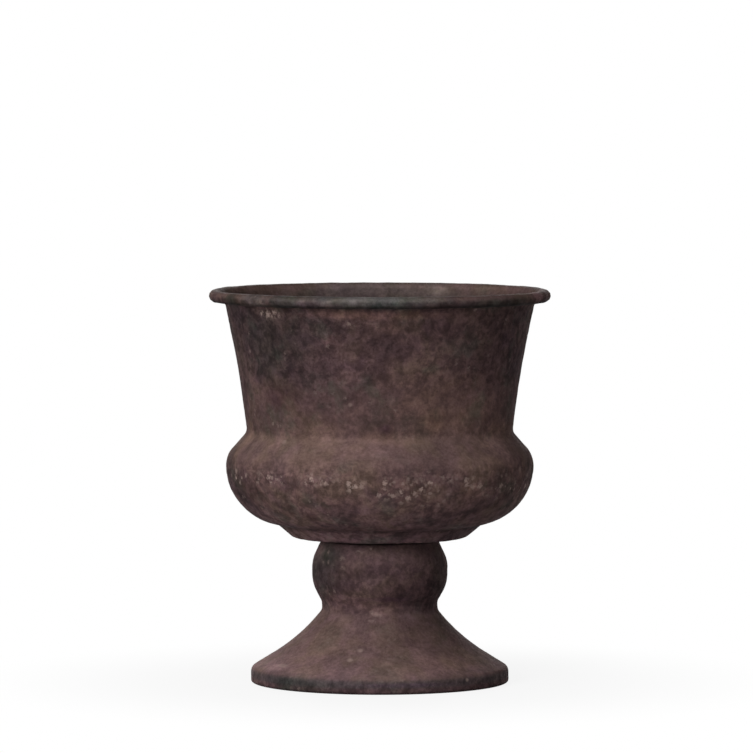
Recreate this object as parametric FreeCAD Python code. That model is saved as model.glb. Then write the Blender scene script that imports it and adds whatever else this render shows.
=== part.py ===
"""A garden urn of spun sheet steel: a flared bowl with a rolled rim, a ball-shaped knop and a bell foot.

Millimetres, +Z up. The origin is the middle of the circle that the foot stands on.
Every sheet piece follows a smooth line along its outer face, has the sheet's thickness towards the
inside and is spun about the Z axis. One bolt down the middle clamps the bowl, the knop and the foot.
"""

import FreeCAD
import Part
import math
import os

Vector = FreeCAD.Vector

# Heights of the three parts of the urn that stand on each other
foot_height = 58.5
knop_height = 52.5
bowl_height = 189.4

# Sheet metal: its thickness, its tightest outer bend and the play between pieces that slide together
sheet = 1.2
tight_bend = 1.8
fit_gap = 0.1

# Foot: a flange to stand on, an upright band, then a hollow flare up to the neck
foot_radius = 98.6
flange_width = 9.0
band_height = 11.0
band_bend = 5.4
flare_bow_shares = (0.69, 0.53)
flare_bend = 150.0
neck_radius = 44.2
neck_bend = 6.4
neck_lip = 3.3

# Knop: a ball, turned in on top to the flat ring that the bowl stands on
knop_radius = 51.8
knop_low_share = 0.33
knop_low_bend = 30.0
knop_high_share = 0.675
knop_high_bend = 27.5
knop_top_radius = 43.6
knop_top_bend = 4.0
knop_eye_radius = 22.0

# Bowl: radii and bends of its outline, with every rise measured from its floor. The bulge is set back
# from the rim above it, and the crease lies deeper than the bulge
boss_radius = 66.2
boss_bend = 7.6
cove_radius = 78.1
cove_rise = 10.2
cove_bend = 3.6
bulge_setback = 13.0
belly_rise = 19.5
belly_bend = 45.4
seam_rise = 48.0
shoulder_rise = 62.6
shoulder_bend = 19.0
crease_depth = 16.0
crease_rise = 80.9
crease_bend = 7.8
wall_bow_shares = (0.34, 0.49)
wall_bend = 900.0

# Rolled rim: it overhangs the lip, and the sheet is rolled over a wire until its edge nearly meets the
# wall again
rim_radius = 130.5
rim_overhang = 12.7
lip_drop = 11.8
lip_bend = 3.0
wire_diameter = 6.5
curl_gap = 0.5

# Weld inside the bowl, along the seam of its two shells
weld_width = 6.0
weld_crown = 1.9

# Drain holes in the bowl's floor, outside the knop
drain_diameter = 8.0
drain_count = 3

# Cup in the neck: it centres the knop on the foot and takes the pull of the bolt
cup_rise = 9.0
cup_drop = 12.0

# Bolt, nut and washers
bolt_diameter = 8.0
bolt_length = 65.0
bolt_head_width = 13.0
bolt_head_height = 5.3
bolt_tip_bevel = 1.0
bolt_hole_play = 0.4
thread_play = 0.05
nut_height = 6.5
face_share = 0.95
bevel_slope = math.tan(math.radians(30))
flat_washer_diameter = 30.0
flat_washer_thickness = 1.6
seal_diameter = 28.0
seal_thickness = 2.0
lock_washer_diameter = 14.8
lock_washer_thickness = 2.0
lock_washer_slot = 1.2
lock_washer_lean = 20.0

# Worked out from the sizes above
floor_height = foot_height + knop_height
urn_height = floor_height + bowl_height
hole_radius = bolt_diameter / 2 + bolt_hole_play
bulge_radius = rim_radius - bulge_setback
crease_radius = bulge_radius - crease_depth
lip_radius = rim_radius - rim_overhang
wire_radius = wire_diameter / 2
curl_radius = wire_radius + fit_gap
bead_radius = curl_radius + sheet
wire_centre = (rim_radius - bead_radius, urn_height - bead_radius)
overrun = sheet

UP = Vector(0, 0, 1)
ORIGIN = Vector(0, 0, 0)
HALF_TURN = math.pi
QUARTER_TURN = math.pi / 2
NOTHING = 1e-6


# Smooth lines. A station is (radius, height, heading), and a span runs from one station to another
# while its heading turns by an angle, which is zero for a straight run.

def heading(start, end):
    """The angle of the run from start to end, above the outward direction."""
    return math.atan2(end[1] - start[1], end[0] - start[0])


def between(start, end, shares):
    """The point at the given shares of the way from start to end, across and up."""
    across, up = shares
    return (start[0] + across * (end[0] - start[0]), start[1] + up * (end[1] - start[1]))


def bent_line(corners):
    """The spans of a smooth line through corners, each (radius, height, bend).

    A bend of radius b that turns by the angle a takes b tan(a/2) from the runs on both its sides.
    Where the two bends of a run ask for more than its length, both are drawn in to fit it.
    """
    last = len(corners) - 1
    runs = [math.dist(corners[i][:2], corners[i + 1][:2]) for i in range(last)]
    ways = [heading(corners[i], corners[i + 1]) for i in range(last)]
    turns = [0.0] + [math.remainder(ways[i] - ways[i - 1], math.tau) for i in range(1, last)] + [0.0]
    takes = [corner[2] * math.tan(abs(turn) / 2) for corner, turn in zip(corners, turns)]
    for i in range(last):
        wanted = takes[i] + takes[i + 1]
        if wanted > runs[i]:
            takes[i] *= runs[i] / wanted
            takes[i + 1] *= runs[i] / wanted
    spans = []
    here = (corners[0][0], corners[0][1], ways[0])
    for i in range(1, last + 1):
        before = on_the_way(corners[i], ways[i - 1], -takes[i])
        if math.dist(here[:2], before[:2]) > NOTHING:
            spans.append((here, before, 0.0))
        here = before
        if takes[i] > NOTHING:
            here = on_the_way(corners[i], ways[i], takes[i])
            spans.append((before, here, turns[i]))
    return spans


def on_the_way(corner, way, distance):
    """The station at a distance from a corner, along a heading."""
    return (corner[0] + distance * math.cos(way), corner[1] + distance * math.sin(way), way)


def bend_of(span):
    """The bend radius of a curved span, below zero where it turns clockwise, and its centre."""
    start, end, turn = span
    bend = math.dist(start[:2], end[:2]) / (2 * math.sin(turn / 2))
    centre = (start[0] - bend * math.sin(start[2]), start[1] + bend * math.cos(start[2]))
    return bend, centre


def along(span, share):
    """The station at a share of a span."""
    start, end, turn = span
    if turn == 0:
        radius, height = between(start, end, (share, share))
        return (radius, height, start[2])
    bend, centre = bend_of(span)
    way = start[2] + share * turn
    return (centre[0] + bend * math.sin(way), centre[1] - bend * math.cos(way), way)


def parted(spans, height):
    """The part of a rising line below a height and the part above it."""
    for i, span in enumerate(spans):
        start, end, turn = span
        if not start[1] <= height < end[1]:
            continue
        if turn == 0:
            share = (height - start[1]) / (end[1] - start[1])
        else:
            bend, centre = bend_of(span)
            share = (math.acos((centre[1] - height) / bend) - start[2]) / turn
        middle = along(span, share)
        below = spans[:i] + [(start, middle, turn * share)]
        above = [(middle, end, turn * (1 - share))] + spans[i + 1:]
        return below, above


def beside(station, distance):
    """The station at a distance to the left of another, which is towards the inside of the urn."""
    radius, height, way = station
    return (radius - distance * math.sin(way), height + distance * math.cos(way), way)


def moved_in(spans, distance):
    """The line that runs inside another at a distance."""
    return [(beside(start, distance), beside(end, distance), turn) for start, end, turn in spans]


# Solids

def at(station):
    """The place of a station in the plane that outlines are drawn in."""
    return Vector(station[0], 0, station[1])


def edges_of(spans):
    """The edges of a line."""
    edges = []
    for span in spans:
        start, end, turn = span
        if turn == 0:
            edges.append(Part.makeLine(at(start), at(end)))
        else:
            edges.append(Part.Arc(at(start), at(along(span, 0.5)), at(end)).toShape())
    return edges


def spun(edges):
    """The solid that a closed outline, given in order, makes round the Z axis."""
    return Part.Face(Part.Wire(edges)).revolve(ORIGIN, UP, 360)


def spun_sheet(spans):
    """A sheet that follows a line with its outer face."""
    inner = moved_in(spans, sheet)
    first_edge = Part.makeLine(at(inner[0][0]), at(spans[0][0]))
    last_edge = Part.makeLine(at(spans[-1][1]), at(inner[-1][1]))
    return spun([first_edge] + edges_of(spans) + [last_edge] + edges_of(inner)[::-1])


def rod(radius, base, height):
    """An upright cylinder on the axis that stands on height base."""
    return Part.makeCylinder(radius, height, Vector(0, 0, base))


def ring(outer_radius, inner_radius, base, height):
    """A flat ring on the axis that stands on height base."""
    return rod(outer_radius, base, height).cut(rod(inner_radius, base - overrun, height + 2 * overrun))


def hexagon(width, seat, free_end):
    """A hexagonal prism of a width across its flats, with the corners of its free end turned off."""
    corner_radius = width / math.sqrt(3)
    angles = [k * math.tau / 6 for k in range(7)]
    corners = [Vector(corner_radius * math.cos(a), corner_radius * math.sin(a), seat) for a in angles]
    prism = Part.Face(Part.makePolygon(corners)).extrude(Vector(0, 0, free_end - seat))
    height = abs(free_end - seat)
    face_radius = face_share * width / 2
    way_in = Vector(0, 0, math.copysign(1, seat - free_end))
    wide_radius = face_radius + height / bevel_slope
    return prism.common(Part.makeCone(face_radius, wide_radius, height, Vector(0, 0, free_end), way_in))


# Lines of the urn

def foot_line():
    """The foot from the inner edge of its flange up to the neck, and on up to the top of the cup."""
    flange_edge = (foot_radius - flange_width, 0.0, 0.0)
    band_foot = (foot_radius, 0.0, tight_bend)
    band_top = (foot_radius, band_height, band_bend)
    neck = (neck_radius, foot_height - neck_lip, neck_bend)
    bow = (*between(band_top, neck, flare_bow_shares), flare_bend)
    cup_top = foot_height + cup_rise
    top_edge = (neck_radius, cup_top, tight_bend + sheet + fit_gap)
    return bent_line([flange_edge, band_foot, band_top, bow, neck, top_edge, (hole_radius, cup_top, 0.0)])


def knop_line():
    """The knop from its lower edge on the foot's neck to the inner edge of the ring on its top."""
    def ball(share, bend):
        return (knop_radius, foot_height + share * knop_height, bend)
    return bent_line([
        (neck_radius, foot_height, 0.0),
        (neck_radius, foot_height + neck_lip, neck_bend),
        ball(knop_low_share, knop_low_bend),
        ball(knop_high_share, knop_high_bend),
        (knop_top_radius, floor_height, knop_top_bend),
        (knop_eye_radius, floor_height, 0.0),
    ])


def bowl_line():
    """The bowl from the bolt hole in its floor up the wall and round the wire in its rim."""
    def corner(radius, rise, bend):
        return (radius, floor_height + rise, bend)
    crease = corner(crease_radius, crease_rise, crease_bend)
    lip = (lip_radius, urn_height - lip_drop, lip_bend)
    wrap = rim_wrap(lip)
    return bent_line([
        corner(hole_radius, 0.0, 0.0),
        corner(boss_radius, 0.0, boss_bend),
        corner(cove_radius, cove_rise, cove_bend),
        corner(bulge_radius, belly_rise, belly_bend),
        corner(bulge_radius, shoulder_rise, shoulder_bend),
        crease,
        (*between(crease, lip, wall_bow_shares), wall_bend),
        lip,
        wrap[0],
    ]) + [wrap]


def rim_wrap(lip):
    """The span round the wire, which the wall meets as a tangent and which ends beside the wall."""
    reach = math.acos(curl_radius / math.dist(lip[:2], wire_centre))
    touch = heading(lip, wire_centre) + HALF_TURN - reach
    left_open = math.acos((curl_radius - curl_gap) / bead_radius)
    turn = left_open - math.tau
    start, end = (
        (
            wire_centre[0] + curl_radius * math.cos(angle),
            wire_centre[1] + curl_radius * math.sin(angle),
            angle - QUARTER_TURN,
        )
        for angle in (touch, touch + turn)
    )
    return (start, end, turn)


# Pieces of the bowl

def make_bowl_wall():
    """The bowl's upper shell, from the seam to the rolled rim."""
    return spun_sheet(parted(bowl_line(), seam_height)[1])


def make_rim_wire():
    """The wire that the rim is rolled over."""
    return Part.makeTorus(wire_centre[0], wire_radius, Vector(0, 0, wire_centre[1]), UP)


def make_bowl_base():
    """The bowl's lower shell, from the bolt hole to the seam, with the drain holes."""
    shell = spun_sheet(parted(bowl_line(), seam_height)[0])
    pitch_radius = (knop_top_radius + boss_radius) / 2
    for k in range(drain_count):
        angle = k * math.tau / drain_count
        place = Vector(pitch_radius * math.cos(angle), pitch_radius * math.sin(angle), floor_height - overrun)
        shell = shell.cut(Part.makeCylinder(drain_diameter / 2, sheet + 2 * overrun, place))
    return shell


def make_seam_weld():
    """The weld along the inner faces of both shells, kept a fit gap clear of them, with a rounded crown."""
    upper = parted(bowl_line(), seam_height - weld_width / 2)[1]
    covered = parted(upper, seam_height + weld_width / 2)[0]
    seam = parted(covered, seam_height)[1][0][0]
    root = moved_in(covered, sheet + fit_gap)
    crown = Part.Arc(at(root[-1][1]), at(beside(seam, sheet + weld_crown)), at(root[0][0])).toShape()
    return spun(edges_of(root) + [crown])


# Pieces of the pedestal

def make_knop():
    """The ball between the bowl and the foot, open at both ends."""
    return spun_sheet(knop_line())


def make_foot_bell():
    """The foot, open at the neck and below."""
    return spun_sheet(parted(foot_line(), foot_height)[0])


def cup_line():
    """The cup's line, which runs inside the foot and through the neck."""
    return moved_in(parted(foot_line(), foot_height - cup_drop)[1], sheet + fit_gap)


def make_neck_cup():
    """The cup that bears on the inside of the flare, passes the neck and is closed above."""
    return spun_sheet(cup_line())


# Fastening, from the bolt head down to the nut

def make_head_washer():
    """The flat washer under the bolt head."""
    return ring(flat_washer_diameter / 2, hole_radius, head_washer_base, flat_washer_thickness)


def make_seal_washer():
    """The rubber washer that keeps the bolt hole tight."""
    return ring(seal_diameter / 2, bolt_diameter / 2 + fit_gap, seal_base, seal_thickness)


def make_tie_bolt():
    """The hexagon bolt, its thread drawn as its nominal cylinder."""
    tip = head_seat - bolt_length
    radius = bolt_diameter / 2
    head = hexagon(bolt_head_width, head_seat, head_seat + bolt_head_height)
    shank = rod(radius, tip + bolt_tip_bevel, bolt_length - bolt_tip_bevel)
    bevel = Part.makeCone(radius - bolt_tip_bevel, radius, bolt_tip_bevel, Vector(0, 0, tip))
    return head.fuse([shank, bevel]).removeSplitter()


def make_nut_washer():
    """The flat washer against the underside of the cup."""
    return ring(flat_washer_diameter / 2, hole_radius, nut_washer_base, flat_washer_thickness)


def make_lock_washer():
    """The split spring washer, pressed flat."""
    washer = ring(lock_washer_diameter / 2, hole_radius, lock_washer_base, lock_washer_thickness)
    length, height = lock_washer_diameter, lock_washer_thickness + 2 * overrun
    slot = Part.makeBox(length, lock_washer_slot, height, Vector(0, -lock_washer_slot / 2, -height / 2))
    slot.rotate(ORIGIN, Vector(1, 0, 0), lock_washer_lean)
    slot.translate(Vector(0, 0, lock_washer_base + lock_washer_thickness / 2))
    return washer.cut(slot)


def make_tie_nut():
    """The hexagon nut."""
    nut_base = lock_washer_base - nut_height
    block = hexagon(bolt_head_width, lock_washer_base, nut_base)
    bore_radius = bolt_diameter / 2 + thread_play
    return block.cut(rod(bore_radius, nut_base - overrun, nut_height + 2 * overrun))


# Heights of the joints
seam_height = floor_height + seam_rise
seal_base = floor_height + sheet
head_washer_base = seal_base + seal_thickness
head_seat = head_washer_base + flat_washer_thickness
nut_washer_base = cup_line()[-1][1][1] - sheet - flat_washer_thickness
lock_washer_base = nut_washer_base - lock_washer_thickness

pieces = {
    "bowl_wall": make_bowl_wall,
    "rim_wire": make_rim_wire,
    "bowl_base": make_bowl_base,
    "seam_weld": make_seam_weld,
    "knop": make_knop,
    "foot_bell": make_foot_bell,
    "neck_cup": make_neck_cup,
    "tie_bolt": make_tie_bolt,
    "head_washer": make_head_washer,
    "seal_washer": make_seal_washer,
    "nut_washer": make_nut_washer,
    "lock_washer": make_lock_washer,
    "tie_nut": make_tie_nut,
}

os.makedirs("parts", exist_ok=True)
for name, make in pieces.items():
    shape = make()
    shape.exportStep(f"parts/{name}.step")
    box = shape.BoundBox
    print(f"{name}: {box.XLength:.1f} x {box.YLength:.1f} x {box.ZLength:.1f} from z {box.ZMin:.2f},"
          f" {shape.Volume / 1000:.1f} cm3, valid {shape.isValid()}")
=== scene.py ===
# %% [markdown]
# A garden urn of spun sheet steel, dressed for a photograph.
# The solids of the urn are loaded first and never moved. They say how big the urn is and where each of
# its pieces sits. What a solid can't show, the sanded skin, the patina and its chips, is made here.

import bmesh
import bpy
import math
import numpy as np
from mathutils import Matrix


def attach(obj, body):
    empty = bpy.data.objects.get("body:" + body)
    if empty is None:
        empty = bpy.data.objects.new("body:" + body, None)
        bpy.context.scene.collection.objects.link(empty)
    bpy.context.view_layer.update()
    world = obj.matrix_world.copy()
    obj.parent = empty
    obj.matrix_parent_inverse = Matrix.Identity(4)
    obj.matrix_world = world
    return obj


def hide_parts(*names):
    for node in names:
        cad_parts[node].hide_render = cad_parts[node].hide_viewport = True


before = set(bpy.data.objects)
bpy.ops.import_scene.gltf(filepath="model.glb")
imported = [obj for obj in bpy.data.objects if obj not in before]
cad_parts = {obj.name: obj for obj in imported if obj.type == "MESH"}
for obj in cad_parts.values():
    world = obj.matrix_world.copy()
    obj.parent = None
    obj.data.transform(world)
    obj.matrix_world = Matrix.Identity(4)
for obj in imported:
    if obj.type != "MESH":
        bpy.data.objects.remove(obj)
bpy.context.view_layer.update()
print("pieces in the frame:", ", ".join(sorted(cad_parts)))

# %% [markdown]
# Every sheet piece of the urn is spun: a disc of steel is pressed against a turning form. So its shape
# is one smooth line, carried round the upright axis. The line could be drawn as a curve with handles. A
# few corners, each with a radius, a height and the radius of its bend, in millimetres, say the same in
# fewer numbers and give true arcs. That is also how a metal spinner would draw it.

# %% Sizes of the urn
MM = 0.001
SHEET = 1.2
TIGHT_BEND = 1.8
PLAY = 0.1

FOOT_TOP = 58.5
FLOOR = 111.0
SEAM = 159.0
TOP = 300.4

BOLT_HOLE = 4.4
KNOP_EYE = 22.0
KNOP_TOP_RADIUS = 43.6
NECK_RADIUS = 44.2
NECK_LIP = 3.3
KNOP_RADIUS = 51.8
BOSS_RADIUS = 66.2
FOOT_RADIUS = 98.6
BULGE_RADIUS = 117.5
RIM_RADIUS = 130.5

LIP = (117.8, 288.6)
WIRE_RADIUS = 3.25
CURL_RADIUS = WIRE_RADIUS + PLAY
CURL_GAP = 0.5
BEAD_RADIUS = CURL_RADIUS + SHEET
BEAD_CENTRE = (RIM_RADIUS - BEAD_RADIUS, TOP - BEAD_RADIUS)

foot_corners = [
    (89.6, 0.0, 0.0),
    (FOOT_RADIUS, 0.0, TIGHT_BEND),
    (FOOT_RADIUS, 11.0, 5.4),
    (61.06, 34.43, 150.0),
    (NECK_RADIUS, FOOT_TOP - NECK_LIP, 6.4),
    (NECK_RADIUS, FOOT_TOP, 0.0),
]
knop_corners = [
    (NECK_RADIUS, FOOT_TOP, 0.0),
    (NECK_RADIUS, FOOT_TOP + NECK_LIP, 6.4),
    (KNOP_RADIUS, 75.83, 30.0),
    (KNOP_RADIUS, 93.94, 27.5),
    (KNOP_TOP_RADIUS, FLOOR, 4.0),
    (KNOP_EYE, FLOOR, 0.0),
]
bowl_corners = [
    (BOLT_HOLE, FLOOR, 0.0),
    (BOSS_RADIUS, FLOOR, 7.6),
    (78.1, 121.2, 3.6),
    (BULGE_RADIUS, 130.5, 45.4),
    (BULGE_RADIUS, 173.6, 19.0),
    (101.5, 191.9, 7.8),
    (107.04, 239.28, 900.0),
    (*LIP, 3.0),
]
print("the urn is", TOP, "high and", 2 * RIM_RADIUS, "wide")

# %% [markdown]
# A spun outline has no sharp corners: each is replaced by an arc that touches the runs on both its
# sides. The Bevel modifier rounds corners too, but it gives points only. Here each station along the
# line has a radius, a height and a heading. The heading says which way is inwards, and so where the
# sheet's other face lies.

# %% Smooth lines
ARC_STEP = 0.16
TINY = 1e-6


def bent_line(corners, step):
    """Stations (radius, height, heading) along a line of straight runs and touching arcs.

    A bend of radius b that turns by the angle a takes b tan(a/2) from the run on each side, and where
    two bends ask for more than their run has, both are drawn in. Stations are at most a step apart, and
    on an arc also at most ARC_STEP radians.
    """
    places = np.array([corner[:2] for corner in corners])
    bends = np.array([corner[2] for corner in corners])
    runs = np.linalg.norm(np.diff(places, axis=0), axis=1)
    ways = np.arctan2(*np.diff(places, axis=0).T[::-1])
    turns = np.zeros(len(corners))
    turns[1:-1] = np.remainder(np.diff(ways) + math.pi, math.tau) - math.pi
    takes = bends * np.tan(abs(turns) / 2)
    for i, run in enumerate(runs):
        wanted = takes[i] + takes[i + 1]
        if wanted > run:
            takes[i:i + 2] *= run / wanted
    parts = []
    for i, run in enumerate(runs):
        way = ways[i]
        ahead = np.array([math.cos(way), math.sin(way)])
        straight = run - takes[i] - takes[i + 1]
        if straight > TINY:
            along = np.linspace(takes[i], run - takes[i + 1], max(2, math.ceil(straight / step) + 1))
            parts.append(np.column_stack([places[i] + along[:, None] * ahead, np.full(len(along), way)]))
        turn = turns[i + 1]
        if takes[i + 1] > TINY:
            bend = takes[i + 1] / math.tan(turn / 2)
            start = places[i + 1] - takes[i + 1] * ahead
            count = max(math.ceil(abs(turn * bend) / step), math.ceil(abs(turn) / ARC_STEP)) + 1
            parts.append(arc(start, way, bend, turn, count))
    return joined(parts)


def arc(start, way, bend, turn, count):
    """Stations on the arc that leaves start with a heading and turns by an angle.

    The centre lies one radius b to the left, or to the right for a negative b, and the station with
    heading h is centre + b (sin h, -cos h).
    """
    centre = start + bend * np.array([-math.sin(way), math.cos(way)])
    heading = way + np.linspace(0.0, turn, count)
    return np.column_stack([centre[0] + bend * np.sin(heading), centre[1] - bend * np.cos(heading), heading])


def joined(parts):
    """One array of stations from parts that meet, without repeats where they meet."""
    line = np.concatenate(parts)
    gaps = np.linalg.norm(np.diff(line[:, :2], axis=0), axis=1)
    return line[np.concatenate([[True], gaps > 10 * TINY])]


def beside(line, distance):
    """The line moved to its left, towards the inside of the urn: place + d (-sin h, cos h).

    The distance is one number, or one for each station.
    """
    heading = line[:, 2]
    shift = np.reshape(distance, (-1, 1)) * np.column_stack([-np.sin(heading), np.cos(heading)])
    return np.column_stack([line[:, :2] + shift, heading])


test_line = bent_line(foot_corners, 2.0)
print("the foot's line has", len(test_line), "stations")

# %% [markdown]
# The rim is the sheet itself, rolled over a wire, which makes a thin edge stiff. A torus laid on the
# wall would be quicker, but the dark line under the bead would be missing. So the wall's own line goes
# on: it reaches the wire as a tangent, goes round it clockwise and stops half a millimetre short of
# touching the wall again. The whole line is then cut at the seam, with the same station on both sides
# of the cut, so that the two shells meet exactly.

# %% The bowl's line with its rolled rim
FINE_STEP = 1.2
WRAP_SHARE = 0.6


def rolled_rim(step):
    """Where the wall touches the curl round the wire, and the stations of the wrap from there on.

    With the curl's radius c, the bead's radius b, the gap g and the lip's distance d from the centre,
    the wall touches at pi - acos(c / d) from the way to the centre, and the wrap turns by
    acos((c - g) / b) - 2 pi. On the bead's surface the steps are WRAP_SHARE of those on the wall.
    """
    place = np.array(LIP)
    centre = np.array(BEAD_CENTRE)
    distance = np.linalg.norm(centre - place)
    towards = math.atan2(*(centre - place)[::-1])
    touch = towards + math.pi - math.acos(CURL_RADIUS / distance)
    turn = math.acos((CURL_RADIUS - CURL_GAP) / BEAD_RADIUS) - math.tau
    start = centre + CURL_RADIUS * np.array([math.cos(touch), math.sin(touch)])
    count = math.ceil(abs(turn) * BEAD_RADIUS / (WRAP_SHARE * step)) + 1
    return start, arc(start, touch - math.pi / 2, -CURL_RADIUS, turn, count)


def bowl_line(step):
    """The whole bowl, from the bolt hole in its floor to the free edge of the curl."""
    touch, wrap = rolled_rim(step)
    return joined([bent_line(bowl_corners + [(*touch, 0.0)], step), wrap])


def cut_at(line, height):
    """The stations below a height and those above it, with one station put in at that height for both."""
    i = int(np.argmax(line[:, 1] > height))
    share = (height - line[i - 1, 1]) / (line[i, 1] - line[i - 1, 1])
    at_cut = line[i - 1] + share * (line[i] - line[i - 1])
    return np.vstack([line[:i], at_cut]), np.vstack([at_cut, line[i:]])


base_line, wall_line = cut_at(bowl_line(FINE_STEP), SEAM)
print("stations below the seam:", len(base_line), "and above it:", len(wall_line))

# %% [markdown]
# A sheet has two faces. The Screw modifier could spin the line, and Solidify could add the second face.
# A grid of numbers is chosen instead, because it can take the relief of the skin before it becomes a
# mesh. Its closed outline follows the outer face, crosses the edge, and comes back along the inner face.
# Spun, it is a grid over the place along the outline and the angle round the axis. Both close on
# themselves, so no seam or pole is open.

# %% From a line to a closed sheet


def full_turn(count):
    """Even angles round the axis."""
    return np.linspace(0.0, math.tau, count, endpoint=False)


def sheet_outline(line, inner_line):
    """A closed loop (radius, height, heading, face), with face 1 on the outer side and -1 on the inner."""
    inner = beside(inner_line, SHEET)[::-1]
    outer = np.column_stack([line, np.ones(len(line))])
    return np.vstack([outer, np.column_stack([inner, -np.ones(len(inner))])])


def in_scene(name, data):
    """A new object with the given data, linked to the scene."""
    thing = bpy.data.objects.new(name, data)
    bpy.context.scene.collection.objects.link(thing)
    return thing


def spin(outline, columns, relief):
    """The grid (radius cos a, radius sin a, height) over the outline and the angle a, in millimetres.

    The relief is a height for each grid point, added along the sheet's own normal (sin h, -cos h).
    """
    angle = full_turn(columns)
    radius, height, way, face = (outline[:, k:k + 1] for k in range(4))
    radius = radius + relief * face * np.sin(way)
    height = height - relief * face * np.cos(way)
    return np.stack([radius * np.cos(angle), radius * np.sin(angle), height], axis=2)


def grid_mesh(name, grid, close_rows=True, sharp_angle=40.0):
    """A mesh in metres from a grid of points in millimetres, its columns closed on themselves.

    The quad at row i and column j has the corners (i, j), (i, j+1), (i+1, j+1) and (i+1, j), which
    turns its face outwards when the rows go up the outside. Rows that don't close on themselves end in
    two flat caps.
    """
    rows, columns = grid.shape[:2]
    i = np.arange(rows if close_rows else rows - 1)[:, None]
    j = np.arange(columns)[None, :]
    up, on = (i + 1) % rows, (j + 1) % columns
    corners = [i * columns + j, i * columns + on, up * columns + on, up * columns + j]
    faces = np.stack(np.broadcast_arrays(*corners), axis=2).reshape(-1, 4).tolist()
    if not close_rows:
        faces += [list(range(columns))[::-1], list(range((rows - 1) * columns, rows * columns))]
    mesh = bpy.data.meshes.new(name)
    mesh.from_pydata(grid.reshape(-1, 3) * MM, [], faces)
    mesh.shade_smooth()
    mesh.set_sharp_from_angle(angle=math.radians(sharp_angle))
    print(name, "has", len(mesh.polygons), "faces")
    return in_scene(name, mesh)


print("its closed outline has", len(sheet_outline(test_line, test_line)), "points")

# %% [markdown]
# The skin of the urn isn't smooth. Sand in the paint gives a fine grain, and hand finishing leaves waves
# a few centimetres long and mostly less than a tenth of a millimetre high. A bump map could imitate
# both, but it leaves the outline straight. As real relief in the mesh they catch the light at the edges
# too. The waves run in all directions, and a whole number of them fits round the urn, so that they close
# on themselves.

# %% The sanded skin
WAVE_COUNT = 26
WAVE_LENGTHS = (14.0, 60.0)
WAVE_HEIGHT = 0.07
GRAIN_HEIGHT = 0.035
FADE_LENGTH = 2.0


def waves(angle, along, mean_radius, seed):
    """A sum of plane waves over the unrolled surface, cos(m a + q s + phase), with whole numbers m."""
    draw = np.random.default_rng(seed)
    total = np.zeros((len(along), len(angle)))
    for _ in range(WAVE_COUNT):
        length = draw.uniform(*WAVE_LENGTHS)
        lean = draw.uniform(0.0, math.tau)
        m = round(math.tau * mean_radius / length * math.cos(lean))
        q = math.tau / length * math.sin(lean)
        total += np.cos(m * angle[None, :] + q * along[:, None] + draw.uniform(0.0, math.tau))
    return WAVE_HEIGHT * total * math.sqrt(2.0 / WAVE_COUNT)


def grain(shape, height, seed, passes=1):
    """Random heights at the grid points, each mixed with its neighbours by 1-2-1 weights both ways."""
    field = np.random.default_rng(seed).normal(size=shape)
    for _ in range(passes):
        for axis in (0, 1):
            field = (2 * field + np.roll(field, 1, axis) + np.roll(field, -1, axis)) / 4
    return height * field / field.std()


def skin(outline, columns, seed):
    """Waves plus grain over an outline, fading over FADE_LENGTH towards the sheet's edges and the floor."""
    along = np.concatenate([[0.0], np.cumsum(np.linalg.norm(np.diff(outline[:, :2], axis=0), axis=1))])
    relief = waves(full_turn(columns), along, float(outline[:, 0].mean()), seed)
    relief += grain(relief.shape, GRAIN_HEIGHT, seed + 1)
    edge = np.flatnonzero(np.diff(outline[:, 3], append=outline[0, 3]))
    ends = np.concatenate([along[edge], along[(edge + 1) % len(along)]])
    fade = np.clip(np.abs(along[:, None] - ends[None, :]).min(axis=1) / FADE_LENGTH, 0.0, 1.0)
    fade *= np.clip(outline[:, 1] / FADE_LENGTH, 0.0, 1.0)
    return relief * fade[:, None]


print("the waves are", WAVE_LENGTHS, "long and", WAVE_HEIGHT, "high as a root mean square")

# %% [markdown]
# The bowl is two shells that meet at the widest circle. The upper one carries the bulge's shoulder, the
# crease, the flared wall and the rolled rim. It could have even steps all over. The camera sees its
# outside and only a strip of the far inner wall, though, so the inside gets coarser steps and the mesh
# stays smaller.

# %% The bowl's upper shell
INNER_STEP = 4.2


def sheet_piece(name, line, inner_line, columns, seed):
    """A spun sheet with its skin, from the line of its outer face and a coarser one for the inner face."""
    outline = sheet_outline(line, inner_line)
    return grid_mesh(name, spin(outline, columns, skin(outline, columns, seed)))


coarse_base, coarse_wall = cut_at(bowl_line(INNER_STEP), SEAM)
upper_bowl = sheet_piece("upper_bowl", wall_line, coarse_wall, columns=446, seed=11)
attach(upper_bowl, "root")
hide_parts("bowl_wall")

# %% [markdown]
# The lower shell has the belly, the cove, the boss and the floor, with three drain holes outside the
# ball below. A round hole doesn't fit a grid of rings, so the holes could only be built in by bending
# the grid. They are cut afterwards with a boolean instead, as a drill would. It takes every face as
# flat, so the grid's slightly bent quads are split into triangles first. Where the cut passes very close
# to a corner it leaves slivers, so corners that almost touch are welded.

# %% The bowl's lower shell and its drain holes
DRAIN_COUNT = 3
DRAIN_RADIUS = 4.0
DRAIN_PITCH = (KNOP_TOP_RADIUS + BOSS_RADIUS) / 2
DRAIN_SIDES = 40
CUT_FROM = FLOOR - 3.0
CUT_TO = FLOOR + 4.0
WELD_DISTANCE = 0.01


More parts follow.
